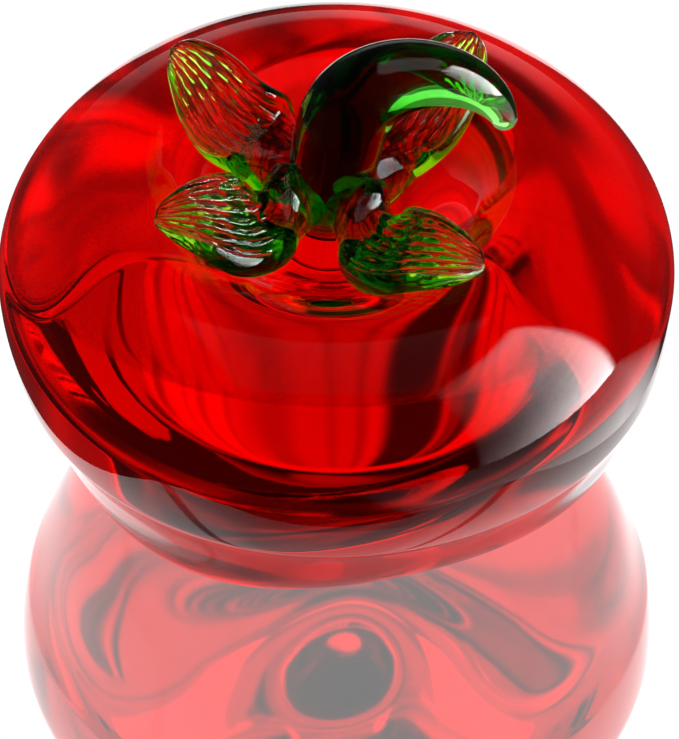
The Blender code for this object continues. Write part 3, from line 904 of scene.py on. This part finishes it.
# %% Light that the skin mirrors
ROOM_GLOW = 0.06
LOW_GLOW = 0.6
LOW_AZIMUTH = 150
LOW_AZIMUTH_FADE = 20
LOW_ELEVATION = 14
LOW_ELEVATION_FADE = 8
LAMP_GLOW = 66
LAMP_AZIMUTHS = (42, 90)
LAMP_ELEVATIONS = (-12, 52)
LAMP_SOFTNESS = 4
LAMP_DIM_END = 0.12
LAMP_FADE_START = 40
LAMP_FADE = 42
LAMP_COARSE_DEPTH = 0.15
LAMP_COARSE_TURNS = 1.3
LAMP_WANDER = 0.2
LAMP_FINE_DEPTH = 0.1
LAMP_FINE_TURNS = 3.1
WINDOW_GLOW = 3.6
WINDOW_HALF_WIDTH = 0.55
WINDOW_SIDE_FADE = 0.06
WINDOW_HALF_LENGTH = 0.4
WINDOW_END_FADE = 0.08
WINDOW_AHEAD = 0.2
WINDOW_LOWEST = 30
LEAST_SINE = 0.01


def shine_glow(az, el):
    """What the outer surface mirrors straight to the viewer: a dim room, the pale cloth low behind, one
    strong lamp on the right, with fine level streaks, and a long soft window overhead. The window is laid
    out on a level ceiling 1 above the object."""
    turn, rise = np.radians(az), np.radians(el)
    reach = np.cos(rise) / np.maximum(np.sin(rise), LEAST_SINE)
    sideways = np.abs(np.sin(turn)) * reach
    off_middle = np.abs(np.cos(turn) * reach - WINDOW_AHEAD)
    window = smooth_step((WINDOW_HALF_WIDTH - sideways) / WINDOW_SIDE_FADE) * (el > WINDOW_LOWEST)
    window = window * smooth_step((WINDOW_HALF_LENGTH - off_middle) / WINDOW_END_FADE)
    low_behind = smooth_step((np.abs(az) - LOW_AZIMUTH) / LOW_AZIMUTH_FADE)
    low_behind = low_behind * smooth_step((LOW_ELEVATION - el) / LOW_ELEVATION_FADE)
    brighter = LAMP_DIM_END + (1 - LAMP_DIM_END) * smooth_step((az - LAMP_FADE_START) / LAMP_FADE)
    coarse = LAMP_COARSE_DEPTH * np.sin(LAMP_COARSE_TURNS * el + np.sin(LAMP_WANDER * az))
    streaks = 1 - coarse - LAMP_FINE_DEPTH * np.sin(LAMP_FINE_TURNS * el + 1)
    lamp = panel(az, el, LAMP_AZIMUTHS, LAMP_ELEVATIONS, LAMP_SOFTNESS) * brighter * streaks
    return ROOM_GLOW + LOW_GLOW * low_behind + LAMP_GLOW * lamp + WINDOW_GLOW * window


# %% Light that the belly mirrors by way of the board
CEILING_ELEVATION = 55
CEILING_FADE = 2
WALL_GLOW = 0.45
WALL_GAIN = 1.1
WALL_START = 18
WALL_FADE = 36
SEAMS = (((56, 61), (-20, 95), 2, 0.9),)


def belly_glow(az, el):
    """What the belly mirrors by way of the board: a white ceiling, walls under it that are grey in front
    and brighter at the sides, and a dim seam on either side."""
    ceiling = smooth_step((el - CEILING_ELEVATION) / CEILING_FADE + 0.5)
    walls = WALL_GLOW + WALL_GAIN * smooth_step((np.abs(az) - WALL_START) / WALL_FADE)
    return np.maximum(ceiling, walls) * dimmed(np.abs(az), el, SEAMS)


# %% [markdown]
# The dome is a grid of azimuths and elevations, closed far below the table and at the top.

# %% The dome
DOME_RADIUS = 0.8
DOME_FOOT = -12
DOME_STEP = 0.5
DOME_DEPTH = 1
GLOWS = {"inner_glow": inner_glow, "shine_glow": shine_glow, "belly_glow": belly_glow}

azimuth, elevation = np.meshgrid(np.arange(-180, 180, DOME_STEP), np.arange(DOME_FOOT, 90), indexing="xy")
az, el = np.radians(azimuth), np.radians(elevation)
rings = DOME_RADIUS * np.stack([np.sin(az) * np.cos(el), -np.cos(az) * np.cos(el), np.sin(el)], axis=-1)
dome_top = (0, 0, DOME_RADIUS + EQUATOR_HEIGHT)
dome = closed_surface("dome", rings + [0, 0, EQUATOR_HEIGHT], (0, 0, -DOME_DEPTH), dome_top)
dome.visible_camera = False
for name, glow in GLOWS.items():
    values = glow(azimuth, elevation).ravel()
    layer = dome.data.attributes.new(name, "FLOAT", "POINT")
    layer.data.foreach_set("value", np.append(values, [0, values[-1]]))
    print(f"{name}: {values.min():.2f} to {values.max():.2f}")

# %% [markdown]
# A ray that has been through glass takes the inner brightness. Of the others, one that has bounced twice
# came from the board by way of the belly, and one that was mirrored sharply came from the skin. The board
# is a little rough, so what it mirrors isn't sharp, and it stays white in every view.

# %% The dome's light
cloth, tree, light = emitter("dome_cloth")
rays = node(tree, "ShaderNodeLightPath", {})
glows = {name: node(tree, "ShaderNodeAttribute", {}, attribute_name=name).outputs["Fac"] for name in GLOWS}
sharp = maths(tree, "GREATER_THAN", rays.outputs["Is Singular Ray"], ONCE)
twice = maths(tree, "GREATER_THAN", rays.outputs["Ray Depth"], TWICE)
inner = maths(tree, "GREATER_THAN", rays.outputs["Transmission Depth"], ONCE)
mirrored = blend(tree, sharp, 1, glows["shine_glow"])
mirrored = blend(tree, twice, mirrored, glows["belly_glow"])
tree.links.new(blend(tree, inner, mirrored, glows["inner_glow"]), light.inputs["Strength"])
dome.data.materials.append(cloth)

# %% [markdown]
# ## The camera
#
# The camera looks down at 46 degrees through a long lens, from 600 mm, so the fruit keeps its shape. Its
# values come from fitting the outline of the object and of its mirror image.

# %% The camera
SENSOR = 36
LENS = 248.1
DISTANCE = 602.7 * MM
VIEW_DOWN = math.radians(46)
AIM_DOWN = math.radians(47.187)
AIM_RIGHT = math.radians(0.05)
CLIP_START = 10 * MM

camera_data = bpy.data.cameras.new("camera")
camera_data.lens = LENS
camera_data.sensor_width = SENSOR
camera_data.clip_start = CLIP_START
camera = bpy.data.objects.new("camera", camera_data)
camera.location = (
    0,
    -DISTANCE * math.cos(VIEW_DOWN),
    EQUATOR_HEIGHT + DISTANCE * math.sin(VIEW_DOWN),
)
camera.rotation_euler = (math.pi / 2 - AIM_DOWN, 0, -AIM_RIGHT)
bpy.context.scene.collection.objects.link(camera)
bpy.context.scene.camera = camera
print("camera at", [round(value / MM, 1) for value in camera.location], "mm")

# %% [markdown]
# Light that is trapped in solid glass bounces many times before it leaves, and a path that is cut short
# turns black, so the limits are high.

# %% Light paths and colour
MOST_BOUNCES = 24

scene = bpy.context.scene
scene.view_settings.view_transform = "Standard"
scene.cycles.max_bounces = MOST_BOUNCES
scene.cycles.glossy_bounces = MOST_BOUNCES
scene.cycles.transmission_bounces = MOST_BOUNCES

# %% Finish
bpy.context.view_layer.update()
